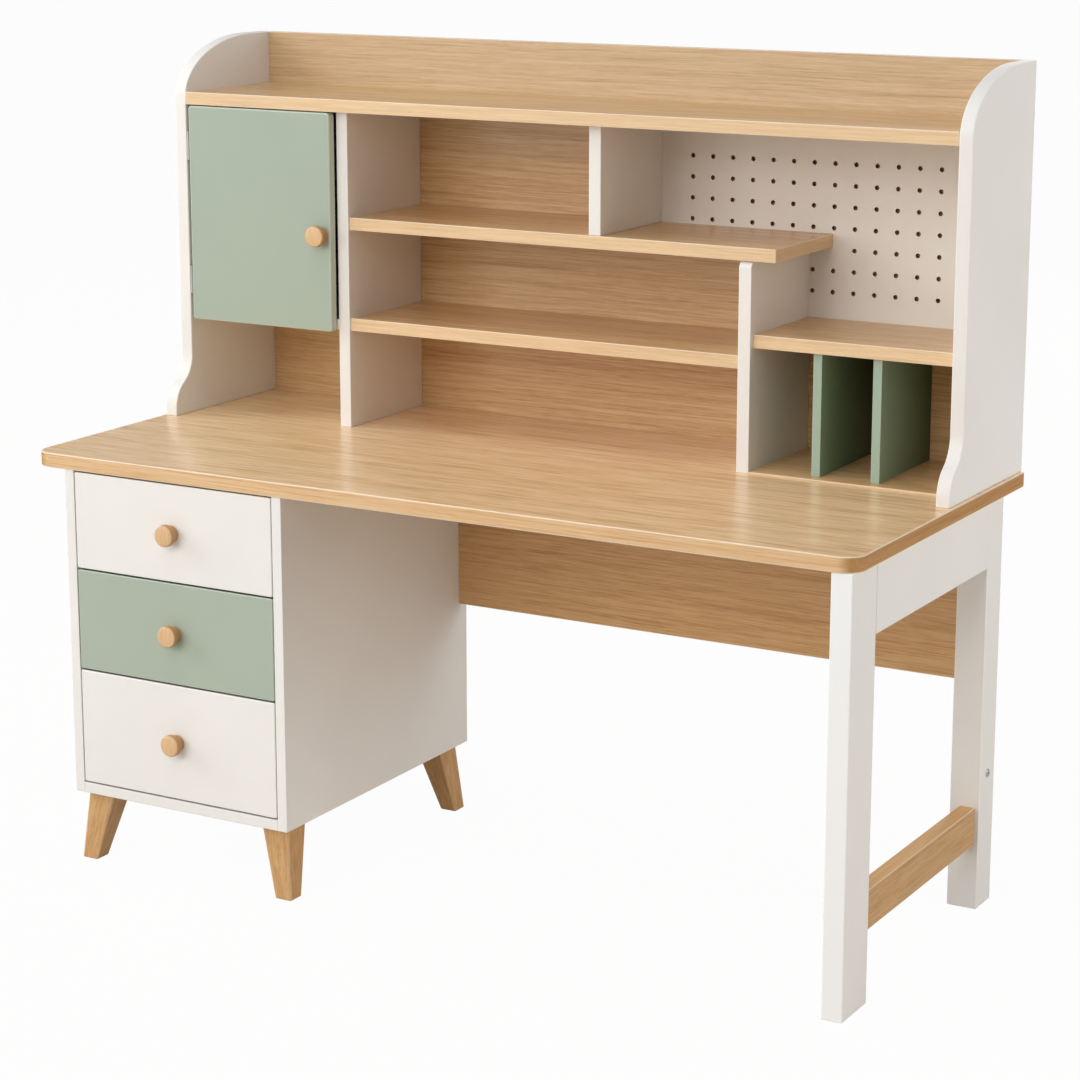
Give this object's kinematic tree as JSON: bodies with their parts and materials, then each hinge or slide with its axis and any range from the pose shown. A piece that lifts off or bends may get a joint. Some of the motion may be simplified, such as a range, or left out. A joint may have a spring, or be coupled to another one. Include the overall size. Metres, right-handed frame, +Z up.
{
  "type": "student desk with hutch",
  "caption": "Student desk with a drawer pedestal on turned-out feet, an open leg frame and a hutch with shelves, a cabinet, a file rack and a pegboard.",
  "frame": {"origin": "on the floor, at the middle of the box round the whole desk", "axes": "+X along the desk to the sitter's right, +Y from the sitter to the back, +Z up"},
  "size_m": [1.5, 0.696, 1.371],
  "materials": {
    "oak_veneer": "satin oak veneer on board, fine grain along the length",
    "white_lacquer": "matt warm white lacquer on board",
    "sage_lacquer": "matt sage green lacquer on board",
    "solid_beech": "satin oiled solid beech",
    "drawer_box_board": "pale birch-faced drawer board, clear matt",
    "white_hardboard": "matt white painted hardboard",
    "zinc_plated_steel": "bright zinc plate",
    "white_plastic": "white moulded plastic"
  },
  "bodies": {
    "desk": {"cabinet_divider": "white_lacquer", "cabinet_floor": "white_lacquer", "desktop": "oak_veneer", "door_catch": "white_plastic", "file_divider_left": "sage_lacquer", "file_divider_right": "sage_lacquer", "foot_front_left": "solid_beech", "foot_front_right": "solid_beech", "foot_rear_left": "solid_beech", "foot_rear_right": "solid_beech", "frame_bolts": "zinc_plated_steel", "hinge_leaves_cabinet": "zinc_plated_steel", "hutch_back_panel": "oak_veneer", "hutch_side_left": "white_lacquer", "hutch_side_right": "white_lacquer", "hutch_top_shelf": "oak_veneer", "leg_apron": "white_lacquer", "leg_front": "white_lacquer", "leg_rear": "white_lacquer", "leg_stretcher": "solid_beech", "lower_shelf": "oak_veneer", "main_divider": "white_lacquer", "middle_shelf": "oak_veneer", "modesty_panel": "oak_veneer", "pedestal_back": "white_lacquer", "pedestal_bottom": "white_lacquer", "pedestal_side_left": "white_lacquer", "pedestal_side_right": "white_lacquer", "pedestal_top_rails": "white_lacquer", "pegboard": "white_hardboard", "pegboard_battens": "solid_beech", "rack_base": "oak_veneer", "rack_shelf": "oak_veneer", "slide_channels": "zinc_plated_steel", "upper_divider": "white_lacquer"},
    "upper_drawer": {"upper_drawer_back": "drawer_box_board", "upper_drawer_floor": "drawer_box_board", "upper_drawer_front": "white_lacquer", "upper_drawer_knob": "solid_beech", "upper_drawer_side_left": "drawer_box_board", "upper_drawer_side_right": "drawer_box_board", "upper_drawer_slides": "zinc_plated_steel"},
    "middle_drawer": {"middle_drawer_back": "drawer_box_board", "middle_drawer_floor": "drawer_box_board", "middle_drawer_front": "sage_lacquer", "middle_drawer_knob": "solid_beech", "middle_drawer_side_left": "drawer_box_board", "middle_drawer_side_right": "drawer_box_board", "middle_drawer_slides": "zinc_plated_steel"},
    "lower_drawer": {"lower_drawer_back": "drawer_box_board", "lower_drawer_floor": "drawer_box_board", "lower_drawer_front": "white_lacquer", "lower_drawer_knob": "solid_beech", "lower_drawer_side_left": "drawer_box_board", "lower_drawer_side_right": "drawer_box_board", "lower_drawer_slides": "zinc_plated_steel"},
    "door": {"door_panel": "sage_lacquer", "door_knob": "solid_beech", "door_strike_plate": "zinc_plated_steel", "hinge_leaves_door": "zinc_plated_steel"}
  },
  "joints": [
    {"name": "upper_drawer_slide", "type": "slide", "parent": "desk", "child": "upper_drawer", "axis": [0, -1, 0], "range_m": [0, 0.34]},
    {"name": "middle_drawer_slide", "type": "slide", "parent": "desk", "child": "middle_drawer", "axis": [0, -1, 0], "range_m": [0, 0.34]},
    {"name": "lower_drawer_slide", "type": "slide", "parent": "desk", "child": "lower_drawer", "axis": [0, -1, 0], "range_m": [0, 0.34]},
    {"name": "door_hinge", "type": "hinge", "parent": "desk", "child": "door", "pos_m": [-0.7195, 0.0853, 1.0675], "axis": [0, 0, -1], "range_deg": [0, 95]}
  ]
}
